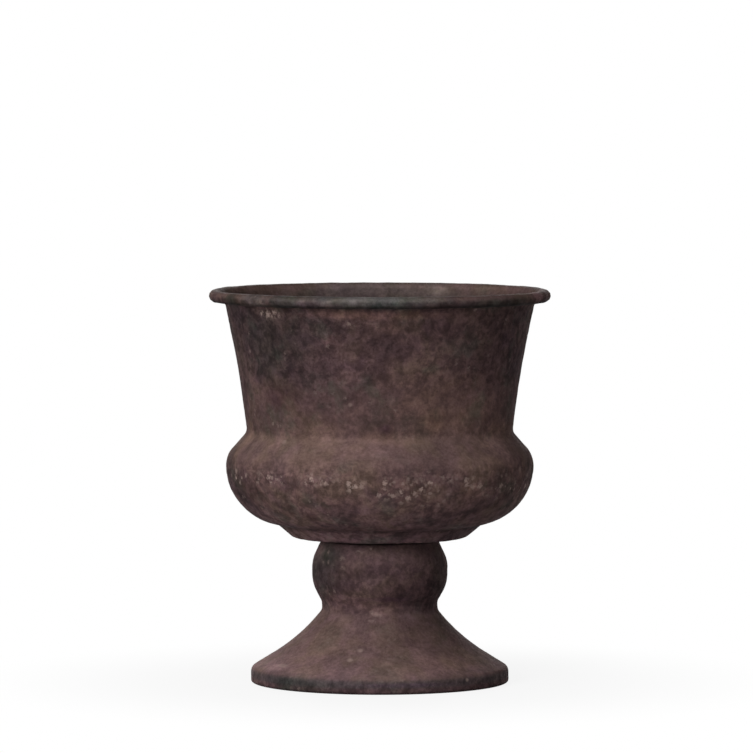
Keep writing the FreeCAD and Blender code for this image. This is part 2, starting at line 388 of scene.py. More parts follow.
def drain_cutters():
    """One mesh of upright rods with closed ends, at even angles round the axis."""
    turn = full_turn(DRAIN_SIDES)
    points, faces = [], []
    for k in range(DRAIN_COUNT):
        angle = k * math.tau / DRAIN_COUNT
        x = DRAIN_PITCH * math.cos(angle) + DRAIN_RADIUS * np.cos(turn)
        y = DRAIN_PITCH * math.sin(angle) + DRAIN_RADIUS * np.sin(turn)
        low = np.arange(DRAIN_SIDES) + 2 * DRAIN_SIDES * k
        high = low + DRAIN_SIDES
        points += [np.column_stack([x, y, np.full(DRAIN_SIDES, z)]) for z in (CUT_FROM, CUT_TO)]
        faces += np.column_stack([low, np.roll(low, -1), np.roll(high, -1), high]).tolist()
        faces += [low[::-1].tolist(), high.tolist()]
    mesh = bpy.data.meshes.new("drain_cutters")
    mesh.from_pydata(np.concatenate(points) * MM, [], faces)
    return in_scene("drain_cutters", mesh)


def edit_mesh(mesh, *steps):
    """Runs each step, an operation on all the verts, edges or faces of a mesh, and writes the mesh back."""
    editor = bmesh.new()
    editor.from_mesh(mesh)
    for operation, elements, settings in steps:
        operation(editor, **{elements: getattr(editor, elements)}, **settings)
    editor.to_mesh(mesh)
    editor.free()


def cut_out(piece, cutter):
    """Cuts the cutter out of the piece, keeps the result as the piece's own mesh and drops the cutter."""
    near = {"dist": WELD_DISTANCE * MM}
    split_quads = (bmesh.ops.triangulate, "faces", {})
    weld_close = (bmesh.ops.remove_doubles, "verts", near)
    drop_slivers = (bmesh.ops.dissolve_degenerate, "edges", near)
    edit_mesh(piece.data, split_quads)
    cut = piece.modifiers.new("holes", "BOOLEAN")
    cut.operation = "DIFFERENCE"
    cut.solver = "EXACT"
    cut.object = cutter
    graph = bpy.context.evaluated_depsgraph_get()
    result = bpy.data.meshes.new_from_object(piece.evaluated_get(graph))
    edit_mesh(result, weld_close, drop_slivers)
    piece.modifiers.clear()
    piece.data = result
    bpy.data.objects.remove(cutter)
    print(piece.name, "after cutting has", len(result.polygons), "faces")


lower_bowl = sheet_piece("lower_bowl", base_line, coarse_base, columns=460, seed=23)
cut_out(lower_bowl, drain_cutters())
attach(lower_bowl, "root")
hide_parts("bowl_base")

# %% [markdown]
# The pedestal is a ball and a bell. Both are spun sheet as well, and they meet edge to edge in the neck,
# where a cup inside keeps them in line. A squashed sphere and a cone would be quicker, but the real forms
# run into each other with a hollow curve. So they are spun from corners, like the bowl.

# %% Ball and bell foot
PEDESTAL_STEPS = (1.1, 3.0)

ball_lines = [bent_line(knop_corners, step) for step in PEDESTAL_STEPS]
ball = sheet_piece("ball", *ball_lines, columns=300, seed=31)
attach(ball, "root")
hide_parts("knop")

foot_lines = [bent_line(foot_corners, step) for step in PEDESTAL_STEPS]
bell_foot = sheet_piece("bell_foot", *foot_lines, columns=440, seed=41)
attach(bell_foot, "root")
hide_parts("foot_bell")

# %% [markdown]
# Inside the bowl a weld bead runs along the seam. A weld is laid drop by drop, so its crown carries a
# ripple of crescents that all lean the way in which the torch travelled. A plain ring with a bump map
# would do from afar. The ripple is half a millimetre high, though, so it is made in the mesh.

# %% The weld along the seam
WELD_WIDTH = 6.0
WELD_EDGE = 0.15
WELD_CROWN = 1.9
RIPPLE_LENGTH = 2.6
RIPPLE_HEIGHT = 0.5
RIPPLE_SINK = 0.2
COLUMNS_PER_RIPPLE = 7
WELD_STEP = 0.5


def seam_bead():
    """A bead on the inner faces of both shells.

    Over t from -1 to 1 across its width, the crown stands e + (c - e) (1 - t^2) above the root. The
    ripple is h p^1.6 - k, where p is the part of a ripple behind a point. It is moved by t^2 / 2, which
    makes crescents, and fades towards the bead's sides as the crown does.
    """
    above = cut_at(bowl_line(WELD_STEP), SEAM - WELD_WIDTH / 2)[1]
    under = cut_at(above, SEAM + WELD_WIDTH / 2)[0]
    across = np.linspace(-1.0, 1.0, len(under))
    roundness = 1 - across**2
    root = beside(under, SHEET + PLAY)
    crown = beside(under, SHEET + PLAY + WELD_EDGE + (WELD_CROWN - WELD_EDGE) * roundness)[::-1]
    faces = np.concatenate([np.ones(len(root)), -np.ones(len(crown))])
    outline = np.column_stack([np.vstack([root, crown]), faces])

    ripples = round(math.tau * root[:, 0].mean() / RIPPLE_LENGTH)
    columns = COLUMNS_PER_RIPPLE * ripples
    phase = ripples * full_turn(columns)[None, :] / math.tau + 0.5 * across[::-1, None] ** 2
    ripple = RIPPLE_HEIGHT * np.remainder(phase, 1.0) ** 1.6 - RIPPLE_SINK
    relief = np.zeros((len(outline), columns))
    relief[len(root):] = ripple * roundness[::-1, None]
    relief[len(root):] += grain((len(crown), columns), 0.04, seed=53, passes=2)
    return grid_mesh("weld_bead", spin(outline, columns, relief), sharp_angle=70.0)


weld_bead = seam_bead()
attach(weld_bead, "root")
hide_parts("seam_weld")

# %% [markdown]
# One bolt clamps bowl, ball and foot together. Its head and its nut are hexagons that a cone bevels, and
# its thread is a crest that climbs by one pitch with each turn. A helix and booleans could cut all this.
# Surfaces whose radius follows both the height and the angle need no cutting: where two forms meet, the
# smaller radius wins.

# %% The bolt and its nut
HEAD_WIDTH = 13.0
HEAD_SEAT = 115.8
HEAD_TOP = 121.1
BEVEL_SHARE = 0.96
BEVEL_ANGLE = math.radians(30)
BEVEL_HEIGHT = 0.9
BEVEL_ROWS = 9
BOLT_TIP = 50.8
BOLT_RADIUS = 4.0
TIP_TAPER = 1.0
THREAD_PITCH = 1.25
THREAD_DEPTH = 0.68
THREAD_LENGTH = 22.0
THREAD_STEP = 0.16
RUN_OUT = 2.0
NUT_BASE = 54.9
NUT_TOP = 61.4
BORE_PLAY = 0.05
COUNTERSINK = 0.5


def hexagon(angle, inset):
    """The radius w / (2 cos a'), with a' from the middle of a flat, held inside the cone of the bevel.

    The inset is how far a point lies from the nearest bevelled end.
    """
    flat = np.remainder(angle, math.pi / 3) - math.pi / 6
    cone = HEAD_WIDTH / 2 * BEVEL_SHARE + inset / math.tan(BEVEL_ANGLE)
    return np.minimum(HEAD_WIDTH / 2 / np.cos(flat), cone)


def thread(height, angle):
    """The radius r - d |2 frac(z / p - a / 2 pi) - 1|, run out into the shank and tapered at the tip."""
    turn = np.remainder(height / THREAD_PITCH - angle / math.tau, 1.0)
    run_out = np.clip((BOLT_TIP + THREAD_LENGTH - height) / RUN_OUT, 0.0, 1.0)
    crest = BOLT_RADIUS - THREAD_DEPTH * np.abs(2 * turn - 1) * run_out
    return np.minimum(crest, BOLT_RADIUS - TIP_TAPER + (height - BOLT_TIP))


def turned(name, height, radius, angle, close_rows):
    """A piece from a column of heights and the radius over the grid, round the upright axis."""
    height = np.broadcast_to(height, radius.shape)
    grid = np.stack([radius * np.cos(angle), radius * np.sin(angle), height], axis=2)
    return grid_mesh(name, grid, close_rows=close_rows, sharp_angle=28.0)


around = full_turn(72)[None, :]
thread_rows = np.arange(BOLT_TIP, BOLT_TIP + THREAD_LENGTH, THREAD_STEP)[:, None]
head_rows = np.concatenate([[HEAD_SEAT], np.linspace(HEAD_TOP - BEVEL_HEIGHT, HEAD_TOP, BEVEL_ROWS)])[:, None]
bolt_height = np.vstack([thread_rows, [[HEAD_SEAT]], head_rows])
bolt_radius = np.vstack([
    thread(thread_rows, around),
    np.full_like(around, BOLT_RADIUS),
    hexagon(around, HEAD_TOP - head_rows),
])
bolt = turned("bolt", bolt_height, bolt_radius, around, close_rows=False)
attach(bolt, "root")
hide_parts("tie_bolt")

low_rows = np.linspace(NUT_BASE, NUT_BASE + BEVEL_HEIGHT, BEVEL_ROWS)
high_rows = np.linspace(NUT_TOP - BEVEL_HEIGHT, NUT_TOP, BEVEL_ROWS)
side_rows = np.concatenate([low_rows, high_rows])[:, None]
bore_rows = np.array([[NUT_TOP], [NUT_TOP - COUNTERSINK], [NUT_BASE + COUNTERSINK], [NUT_BASE]])
bore_radius = BOLT_RADIUS + BORE_PLAY + np.array([[COUNTERSINK], [0.0], [0.0], [COUNTERSINK]])
nut_radius = np.vstack([
    hexagon(around, np.minimum(side_rows - NUT_BASE, NUT_TOP - side_rows)),
    np.broadcast_to(bore_radius, (4, around.size)),
])
nut = turned("nut", np.vstack([side_rows, bore_rows]), nut_radius, around, close_rows=True)
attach(nut, "root")
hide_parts("tie_nut")

# %% [markdown]
# The paint could be a picture wrapped round the urn. Built from nodes it has no seam and stays sharp
# from near, and each layer can be changed by itself. A few small helpers keep the nodes readable: one
# adds a node, one fills or joins a socket, and the others wrap the kinds of node that are used most.

# %% Helpers for node trees


def new_material(name):
    """A new material, its node tree and its principled shader."""
    material = bpy.data.materials.new(name)
    material.use_nodes = True
    tree = material.node_tree
    return material, tree, tree.nodes["Principled BSDF"]


def add(kind, sockets, tree=None, **options):
    """A new node with its options set and its input sockets filled or joined.

    It goes into the given tree, or else into the tree of the first output that is joined to it.
    """
    if tree is None:
        tree = next(value.id_data for value in sockets.values() if isinstance(value, bpy.types.NodeSocket))
    node = tree.nodes.new("ShaderNode" + kind)
    for key, value in options.items():
        setattr(node, key, value)
    for key, value in sockets.items():
        put(node.inputs[key], value)
    return node


def put(socket, value):
    """Writes a number or colour into a socket, or joins another node's output to it."""
    if isinstance(value, bpy.types.NodeSocket):
        socket.id_data.links.new(value, socket)
    else:
        socket.default_value = value


def maths(operation, first, second=0.0, third=0.0):
    """The output of a maths node."""
    return add("Math", {0: first, 1: second, 2: third}, operation=operation).outputs[0]


def times(first, second):
    """The product of two numbers."""
    return maths("MULTIPLY", first, second)


def smooth_step(value, low, high, floor=0.0, ceiling=1.0):
    """Goes smoothly from floor to ceiling while the value goes from low to high."""
    sockets = {"Value": value, "From Min": low, "From Max": high, "To Min": floor, "To Max": ceiling}
    return add("MapRange", sockets, interpolation_type="SMOOTHSTEP").outputs["Result"]


def noise(place, size_mm, detail=3.0, roughness=0.55, distortion=0.0):
    """Noise whose features are about the given size in millimetres."""
    sockets = {"Vector": place, "Scale": 1.0 / (size_mm * MM)}
    sockets |= {"Detail": detail, "Roughness": roughness, "Distortion": distortion}
    return add("TexNoise", sockets).outputs["Fac"]


def mix(share, first, second, blend="MIX"):
    """Mixes two colours."""
    sockets = {0: share, 6: first, 7: second}
    return add("Mix", sockets, data_type="RGBA", blend_type=blend, clamp_factor=True).outputs[2]


def grey(value):
    """A grey colour from a number, for multiplying."""
    return add("CombineColor", {0: value, 1: value, 2: value}).outputs[0]


def tone(red, green, blue):
    """A screen colour from 0 to 255 as the linear colour that a shader wants."""
    channels = np.array([red, green, blue]) / 255
    linear = np.where(channels <= 0.04045, channels / 12.92, ((channels + 0.055) / 1.055) ** 2.4)
    return (*linear.tolist(), 1.0)


print("a mid brown on the screen is", [round(v, 3) for v in tone(78, 60, 57)], "in the shader")

# %% [markdown]
# A pattern has to know where on the urn it is: how high, how far from the axis, on which side, and
# whether the surface there faces up. Painted masks could say so, but each would need an unwrapped mesh,
# while a point's own place is always at hand. Marks that use has left in one place are spots, ellipsoids
# round a point of the surface, with a frayed and soft border.

# %% Where a point lies


def whereabouts(tree):
    """A point's place, height and distance from the axis, how far east it lies and how far up it faces.

    East is x over the distance from the axis: 1 at the right end of the urn, and -1 at the left.
    """
    place = add("TexCoord", {}, tree).outputs["Object"]
    axes = add("SeparateXYZ", {0: place}).outputs
    outwards = add("CombineXYZ", {0: axes["X"], 1: axes["Y"], 2: 0.0}).outputs[0]
    radius = add("VectorMath", {0: outwards}, operation="LENGTH").outputs["Value"]
    east = maths("DIVIDE", axes["X"], maths("MAXIMUM", radius, 1.0 * MM))
    facing_up = add("SeparateXYZ", {0: add("NewGeometry", {}, tree).outputs["Normal"]}).outputs["Z"]
    return place, axes["Z"], radius, east, facing_up


def band(value, low, high, softness, strength):
    """Rises to a strength between low and high, all in millimetres, and falls back softly."""
    above = smooth_step(value, (low - softness) * MM, (low + softness) * MM)
    below = smooth_step(value, (high - softness) * MM, (high + softness) * MM, strength, 0.0)
    return times(above, below)


def on_circle(x, radius):
    """The y of a point on a circle: in front, or on the far side when the radius is given as negative."""
    return -math.copysign(math.sqrt(radius**2 - x**2), radius)


def reach(place, ragged, spot):
    """How far a place lies inside a spot: 1 in its middle, and 0 outside its soft border.

    A spot is an ellipsoid (x, radius, height, half width, half height) in millimetres. Ragged is a noise
    round zero that frays its border, or 0 for an even border. The value falls from 1 to 0 while the
    distance in half widths, plus 1.1 times ragged, goes from 0.35 to 1.25.
    """
    x, radius, height, half_width, half_height = spot
    centre = tuple(MM * v for v in (x, on_circle(x, radius), height))
    scale = tuple(1 / (MM * v) for v in (half_width, half_width, half_height))
    offset = add("VectorMath", {0: place, 1: centre}, operation="SUBTRACT").outputs[0]
    offset = add("VectorMath", {0: offset, 1: scale}, operation="MULTIPLY").outputs[0]
    distance = add("VectorMath", {0: offset}, operation="LENGTH").outputs["Value"]
    return smooth_step(maths("MULTIPLY_ADD", ragged, 1.1, distance), 0.35, 1.25, 1.0, 0.0)


print("at x = 30, a circle of radius 50 lies", -on_circle(30, 50), "in front of the axis")

# %% [markdown]
# The patina is paint over sand, rubbed back and painted again. A single noise could colour it, but it
# would look the same everywhere, so the layers of the real paint are laid one by one. The ground is
# patches a few centimetres across, from charcoal to a pale brown, with drifts of grey green and of plum.
# What faces up is lighter, from dust and from painted top light, rings of painted shade lie in the
# grooves and joints, and thin washes change the tone in single spots, some of them painted highlight
# and painted shade.

# %% The ground of the paint
CHARCOAL = tone(66, 53, 52)
DARK_BROWN = tone(84, 64, 64)
BROWN = tone(96, 74, 71)
WARM_BROWN = tone(94, 75, 68)
PALE_BROWN = tone(106, 84, 78)
MOSS = tone(72, 71, 63)
PLUM = tone(90, 68, 73)
# Rosy and sandy dust, which on what faces up also paints the light from above.
ROSY_DUST_AND_LIGHT = tone(141, 113, 110)
SANDY_DUST_AND_LIGHT = tone(138, 114, 102)


def colour_ramp(value, stops, interpolation="LINEAR"):
    """A colour that follows a value through (position, colour) stops."""
    ramp = add("ValToRGB", {"Fac": value})
    ramp.color_ramp.interpolation = interpolation
    elements = ramp.color_ramp.elements
    while len(elements) < len(stops):
        elements.new(0.5)
    for element, stop in zip(elements, stops):
        element.position, element.color = stop
    return ramp.outputs["Color"]


def patches_of_paint(place):
    """Patches a few centimetres across, with drifts of grey green and of plum over them."""
    patches = noise(place, 40, detail=6, roughness=0.62, distortion=0.2)
    stops = [(0.34, CHARCOAL), (0.44, DARK_BROWN), (0.53, BROWN), (0.62, WARM_BROWN), (0.72, PALE_BROWN)]
    base = colour_ramp(patches, stops)
    green = smooth_step(noise(place, 27, detail=5, roughness=0.62), 0.53, 0.68, 0.0, 0.5)
    base = mix(green, base, MOSS)
    plum = smooth_step(noise(place, 21, detail=4, distortion=0.3), 0.5, 0.68, 0.0, 0.5)
    return mix(plum, base, PLUM)


def dusted_and_top_lit(base, place, facing_up):
    """Dust and painted top light on what faces up, rosy in some places and sandy in others."""
    dust_and_top_light = smooth_step(facing_up, -0.3, 0.85, 0.0, 0.46)
    sandy = smooth_step(noise(place, 24, detail=3), 0.4, 0.6)
    return mix(dust_and_top_light, base, mix(sandy, ROSY_DUST_AND_LIGHT, SANDY_DUST_AND_LIGHT))


def ringed(base, height, radius, bands):
    """Rings of another colour: (low, high, softness, strength, inner radius, colour) for each."""
    for low, high, softness, strength, inner_radius, colour in bands:
        outside = smooth_step(radius, (inner_radius - 0.6) * MM, (inner_radius + 0.6) * MM)
        share = times(outside, band(height, low, high, softness, strength))
        base = mix(share, base, colour)
    return base


def washed_and_shaded(base, place, ragged, tints_and_shading):
    """Spots of tint that multiply what lies under them: (spot, tint) for each. Some are thin paint, and some
    are painted highlight or painted shade.
    """
    for spot, tint in tints_and_shading:
        base = mix(reach(place, ragged, spot), base, (*tint, 1.0), "MULTIPLY")
    return base


print("the darkest paint is", [round(v, 3) for v in CHARCOAL[:3]], "in the shader")

# %% [markdown]
# Over that ground lie a mottle of half a centimetre with fairly crisp borders, darker blotches, soft
# clouds, and a speckle of two or three millimetres. The tone also changes with the height, and near the
# rim that change is painted light: the bead's highlight and the shade on its lower half. Round the urn it
# changes as painted shade: the right side can fall darker, and so can both ends of the X axis, where the
# surface turns away. These could be further colours laid on top. Most of them multiply the colour
# instead, because a factor darkens or lightens every paint and keeps its hue.

# %% Mottle, clouds, tone by height and painted shade
BLOTCH = tone(52, 41, 41)
CALM_HEIGHTS = (194.0, 230.0)


def mottled(base, mottle, place, height, facing_up):
    """A crisp mottle and dark blotches, both weaker on what faces up and low on the wall."""
    calm = band(height, *CALM_HEIGHTS, 10.0, 0.47)
    depth = times(smooth_step(facing_up, -0.2, 0.7, 1.0, 0.27), maths("SUBTRACT", 1.0, calm))
    base = mix(depth, base, grey(smooth_step(mottle, 0.36, 0.64, 0.66, 1.32)), "MULTIPLY")
    blotches = noise(place, 14, detail=5, roughness=0.68, distortion=0.3)
    share = times(smooth_step(blotches, 0.54, 0.68, 0.0, 0.45), depth)
    return mix(share, base, BLOTCH)


def varied(base, value, low, high, darkest, lightest):
    """The colour made darker or lighter as a value goes from low to high."""
    factor = smooth_step(value, low, high, darkest, lightest)
    return mix(1.0, base, grey(factor), "MULTIPLY")


def half_tint(height, heights):
    """Half of a tint that follows the height: (millimetres, factor, factor of its blue) for each stop.

    Half, because a ramp's colours go no higher than 1.
    """
    stops = []
    for level, factor, blue in heights:
        stops.append((level / TOP, (factor / 2, factor / 2, factor * blue / 2, 1.0)))
    return colour_ramp(maths("DIVIDE", height, TOP * MM), stops, "EASE")


def tinted_and_shaded(base, height, east, heights, side, edge_shade):
    """A tint by the height, doubled again, times painted shade: a darker right side and two darker ends of
    the X axis.
    """
    # Painted shade: the right side falls darker, and so do both ends of the X axis, where the surface turns
    # away.
    right_shade = smooth_step(east, -0.35, 0.95, 2.0, 2.0 * (1.0 - side))
    edge_darkening = smooth_step(maths("ABSOLUTE", east), 0.84, 0.99, 1.0, 1.0 - edge_shade)
    tint = mix(1.0, half_tint(height, heights), grey(times(right_shade, edge_darkening)), "MULTIPLY")
    return mix(1.0, base, tint, "MULTIPLY")


print("the mottle is calmer between the heights", CALM_HEIGHTS)

# %% [markdown]
# Small light chips gather along the seam at the widest circle, where hands and neighbours rub. On the
# left they keep to a narrow line just above it, and to the right they spread out below it. Some more
# gather in scuffs, and stray rubs lie anywhere. They could all be placed by hand. The cells of a Voronoi
# pattern scatter them with less work, so only a few single flecks have their own places.

# %% Chips, rubs and flecks
BARE = tone(174, 151, 142)
RUBBED = tone(142, 122, 116)


def dots(place, spacing_mm, size, filled, shift):
    """Roundish spots in the cells of a Voronoi pattern, each with its own strength from 0 to 1.

    The spacing is in millimetres, the size is the spot's radius as a share of the spacing, and filled
    is the share of the cells that get a spot at all. The shift in metres gives each layer its own cells.
    """
    shifted = add("VectorMath", {0: place, 1: (shift, 0.0, 0.0)}, operation="ADD").outputs[0]
    cells = add("TexVoronoi", {"Vector": shifted, "Scale": 1.0 / (spacing_mm * MM), "Randomness": 1.0})
    ragged = maths("SUBTRACT", noise(shifted, spacing_mm / 3.5, detail=3, roughness=0.7), 0.5)
    distance = maths("MULTIPLY_ADD", ragged, size * 4.5, cells.outputs["Distance"])
    spot = smooth_step(distance, size * 0.8, size * 1.5, 1.0, 0.0)
    lot = add("SeparateColor", {0: cells.outputs["Color"]}).outputs[0]
    return times(spot, smooth_step(lot, 1.0 - filled, 1.0, 0.0, 1.0))


def chipped_places(place, height, east, ragged, scuffs):
    """Where chips gather: in clusters along a wandering line by the seam, and in (spot, strength) scuffs."""
    wander = times(maths("SUBTRACT", noise(place, 38, detail=2), 0.5), 14 * MM)
    chip_line = smooth_step(east, -0.35, 0.2, (SEAM + 2.0) * MM, (SEAM - 3.5) * MM)
    spread = smooth_step(east, -0.25, 0.2, 7.0 * MM, 16.0 * MM)
    from_line = maths("SUBTRACT", maths("ADD", height, wander), chip_line)
    nearness = maths("DIVIDE", maths("ABSOLUTE", from_line), spread)
    near_seam = times(smooth_step(nearness, 0.15, 1.0, 1.0, 0.0), smooth_step(east, -0.5, -0.1, 1.0, 0.78))
    chipped = times(near_seam, smooth_step(noise(place, 15, detail=2), 0.36, 0.54))
    for spot, strength in scuffs:
        chipped = maths("MAXIMUM", chipped, times(reach(place, ragged, spot), strength))
    return chipped


def bare_chips(place, chipped):
    """Larger and smaller chips, as far as a place is chipped."""
    chips = dots(place, 5.5, 0.31, 0.75, 1.7)
    fine = times(dots(place, 3.4, 0.34, 0.7, 5.3), 0.5)
    return times(maths("MAXIMUM", chips, fine), chipped)


def rubbed(base, place, flecks):
    """Stray rubs in some regions, and single flecks: (spot, strength) for each."""
    regions = smooth_step(noise(place, 26, detail=3), 0.5, 0.66)
    stray = times(dots(place, 4.6, 0.26, 0.36, 7.9), regions)
    base = mix(times(stray, 0.45), base, RUBBED)
    for spot, strength in flecks:
        base = mix(times(reach(place, 0.0, spot), strength), base, BARE)
    return base


print("in red, a bare chip is", round(BARE[0] / BROWN[0], 1), "times as bright as the brown paint")

# %% [markdown]
# The whole patina is these layers in their order, from the largest to the smallest. The sand could be a
# noise of its own, but then a grain and its colour would lie in different places. So it is a bump made
# mainly of the same patterns, and the chips are sunk into it.

# %% The patina


def sanded(shader, place, mottle, speckle, bare):
    """A bump of mottle, speckle and fine grit, with the bare chips sunk into it."""
    grit = noise(place, 0.8, detail=3, roughness=0.7)
    sand = maths("ADD", speckle, times(mottle, 1.4))
    sand = maths("MULTIPLY_ADD", grit, 0.35, sand)
    sand = maths("MULTIPLY_ADD", bare, -0.9, sand)
    bump = add("Bump", {"Height": sand, "Strength": 0.4, "Distance": 0.45 * MM})
    put(shader.inputs["Normal"], bump.outputs["Normal"])


def patina(name, heights, bands, tints_and_shading, scuffs, flecks, side, edge_shade):
    """A mottled, sanded paint. The layers that read the lists describe them.

    Side is how much darker the right side is than the left, and the last number how much darker both
    ends of the X axis are. Both are painted shade, where the surface turns away from the front lamps.
    """
    material, tree, shader = new_material(name)
    place, height, radius, east, facing_up = whereabouts(tree)
    ragged = maths("SUBTRACT", noise(place, 16, detail=6, roughness=0.65), 0.5)
    mottle = noise(place, 7.0, detail=5, roughness=0.62, distortion=0.3)
    cloud = noise(place, 17, detail=3, roughness=0.6)
    speckle = noise(place, 2.6, detail=3, roughness=0.75)
    bare = bare_chips(place, chipped_places(place, height, east, ragged, scuffs))

    base = patches_of_paint(place)
    base = dusted_and_top_lit(base, place, facing_up)
    base = ringed(base, height, radius, bands)
    base = washed_and_shaded(base, place, ragged, tints_and_shading)
    base = mottled(base, mottle, place, height, facing_up)
    base = varied(base, cloud, 0.35, 0.65, 0.87, 1.13)
    base = tinted_and_shaded(base, height, east, heights, side, edge_shade)
    base = varied(base, speckle, 0.28, 0.72, 0.8, 1.2)
    base = mix(times(bare, 0.85), base, BARE)
    base = rubbed(base, place, flecks)
    put(shader.inputs["Base Color"], base)

    put(shader.inputs["Roughness"], smooth_step(mottle, 0.3, 0.7, 0.9, 0.74))
    shader.inputs["Specular IOR Level"].default_value = 0.05
    sanded(shader, place, mottle, speckle, bare)
    print(name, "has", len(tree.nodes), "nodes")
    return material


# %% [markdown]
# The bowl's own marks. The rim is rubbed on its left, greenish paint shows on the front of the bead, and
# the left of the wall is darker than the middle. Some marks are painted light and shade: the bead's
# highlight and the shade on its lower half, the shade under the bead, on the far inner wall and to the
# right of the boss, and a lightened strip under the rim. Noise can't put a mark in its place, and a
# painted picture would fit this mesh only. So the marks are written down as lists that the patina's
# function reads.

# %% The bowl's patina
# Dust and painted top light for the band round the crease, where the shoulder starts to face up.
CREASE_DUST_AND_LIGHT = tone(128, 104, 97)
# Near black for painted shade: under the bead, where the boss turns into the belly, at the boss's lower edge,
# in the joint between ball and bowl, and at the foot's lower edge.
PAINTED_SHADE = tone(18, 14, 14)
DARK = (0.66, 0.62, 0.64)
PURPLE = (0.72, 0.64, 0.8)

# Near the rim the tone by height is painted light: a painted highlight on the front of the bead near 297 mm,
# and painted shade on its lower half and on its very top.
bowl_heights = [
    (111, 1.16, 1.1), (122, 0.98, 1.05), (156, 1.0, 1.0), (186, 1.0, 1.0), (198, 1.0, 0.96),
    (215, 0.95, 1.0), (250, 0.79, 1.07), (284, 0.72, 1.05), (292, 0.72, 1.0), (295, 0.74, 1.0),
    (297.4, 0.98, 1.0), (298.8, 0.82, 1.0), (300.2, 0.55, 1.0),
]
bowl_bands = [
    (188.0, 200.0, 9.0, 0.18, 90.0, CREASE_DUST_AND_LIGHT),
    # Painted shade under the bead, at the boss's lower edge and where the boss turns into the belly.
    (289.2, 293.6, 1.2, 0.67, 121.3, PAINTED_SHADE),
    (109.0, 112.0, 0.8, 0.12, 60.0, PAINTED_SHADE),
    (119.6, 122.4, 1.2, 0.35, 60.0, PAINTED_SHADE),
]
# Along the rim most spots are painted light: a painted highlight at the bead's right end, painted shade over
# the lower half of the bead at both ends, and painted shade on the far inner wall under the rim. The bead's
# green front, the rubbed patch on its left and the greenish middle of the far wall are paint.
rim_tints_and_shading = [
    ((-4, 130, 297, 62, 7), (0.93, 1.34, 1.4)), ((-71, 130, 296, 14, 8), (0.66, 0.9, 0.88)),
    ((-113, 130, 296, 13, 5.5), (0.38, 0.5, 0.48)), ((-58, 128, 299.6, 34, 2.4), (0.66, 0.7, 0.7)),
    ((-95, 130, 297, 16, 6), (0.86, 1.06, 1.1)), ((-90, 125, 292, 15, 4.5), (1.8, 1.72, 1.75)),
    ((88, 130, 294, 46, 5), (0.64, 0.78, 0.78)), ((120, 130, 298, 14, 5), (1.75, 1.62, 1.85)),
    ((0, -118, 286, 150, 7), (0.76, 0.74, 0.74)), ((0, -122, 290, 92, 14), (0.97, 1.18, 1.2)),
    ((46, -122, 294, 9, 5), (1.5, 1.5, 1.55)),
]
# Over the bowl most spots are tone of the paint. One is painted shade to the right of the boss, and one
# lightens the strip under the rim as painted light against the bead's shadow.
bowl_tints_and_shading = [
    ((-84, 112, 266, 50, 42), (0.66, 0.71, 0.7)), ((-86, 112, 262, 22, 32), (0.78, 0.88, 0.84)),
    ((-60, 112, 266, 20, 20), (0.66, 0.7, 0.7)), ((-76, 106, 224, 20, 14), DARK),
    ((-66, 108, 234, 14, 20), (0.8, 0.8, 0.82)), ((-12, 113, 270, 14, 7), (0.8, 0.8, 0.82)),
    ((8, 114, 277, 11, 6), (1.24, 1.22, 1.16)), ((97, 118, 272, 10, 16), (0.84, 0.84, 0.85)),
    ((-6, 117, 286, 64, 4), (1.34, 1.28, 1.16)), ((52, 116, 271, 20, 11), (0.85, 0.84, 0.86)),
    ((-41, 114, 269, 9, 6), (1.5, 1.45, 1.48)), ((-84, 104, 206, 38, 14), (0.8, 0.81, 0.82)),
    ((12, 104, 194, 26, 7), (1.16, 1.15, 1.08)), ((36, 108, 226, 44, 32), (1.14, 1.15, 1.06)),
    ((72, 108, 230, 26, 18), (1.25, 1.23, 1.19)), ((42, 104, 208, 13, 10), (1.3, 1.29, 1.2)),
    ((86, 104, 208, 60, 26), (1.42, 1.42, 1.38)), ((12, 104, 210, 36, 12), (1.12, 1.12, 1.1)),
    ((-85, 106, 190, 40, 8), (1.14, 1.14, 1.1)), ((-103, 108, 188, 13, 17), (1.55, 1.54, 1.48)),
    ((-48, 104, 205, 16, 14), (0.85, 0.85, 0.86)), ((90, 115, 164, 52, 18), (1.22, 1.22, 1.18)),
    ((-90, 116, 170, 14, 12), (1.2, 1.2, 1.16)), ((-105, 119, 147, 26, 16), (0.54, 0.52, 0.54)),
    ((72, 117, 152, 14, 7), (1.4, 1.4, 1.32)), ((60, 80, 118, 26, 12), (0.74, 0.74, 0.74)),
    ((88, 106, 138, 36, 16), (0.72, 0.72, 0.72)), ((-67, 106, 138, 9, 6), DARK),
    ((-52, 104, 133, 7, 5), DARK), ((4, 106, 200, 7, 5), PURPLE),
    ((-42, 116, 278, 22, 9), (0.87, 0.91, 0.91)), ((-80, 108, 238, 16, 18), (0.9, 0.91, 0.91)),
    ((7, 117, 160, 13, 8), (1.22, 1.2, 1.17)), ((-17, 117, 155, 9, 8), (0.8, 0.81, 0.81)),
    ((-50, 110, 160, 16, 12), (0.92, 0.92, 0.92)), ((69, 108, 144, 14, 7), (1.22, 1.2, 1.18)),
]
bowl_scuffs = [((-84, 118, 286, 15, 4.5), 0.8), ((-15, 116, 280, 18, 5), 0.35)]
bowl_flecks = [
    ((-22.3, 105.3, 218.6, 1.9, 1.8), 0.24), ((-72.2, 104.6, 189.0, 2.6, 2.0), 0.22),
    ((-109.0, 117.6, 164.6, 2.2, 2.2), 0.4), ((106.3, 117.7, 166.6, 2.4, 2.6), 0.32),
]
bowl_patina = patina(
    "bowl_patina", bowl_heights, bowl_bands, bowl_tints_and_shading + rim_tints_and_shading, bowl_scuffs, bowl_flecks,
    side=0.0, edge_shade=0.3,
)
for piece in (upper_bowl, lower_bowl):
    piece.data.materials.append(bowl_patina)

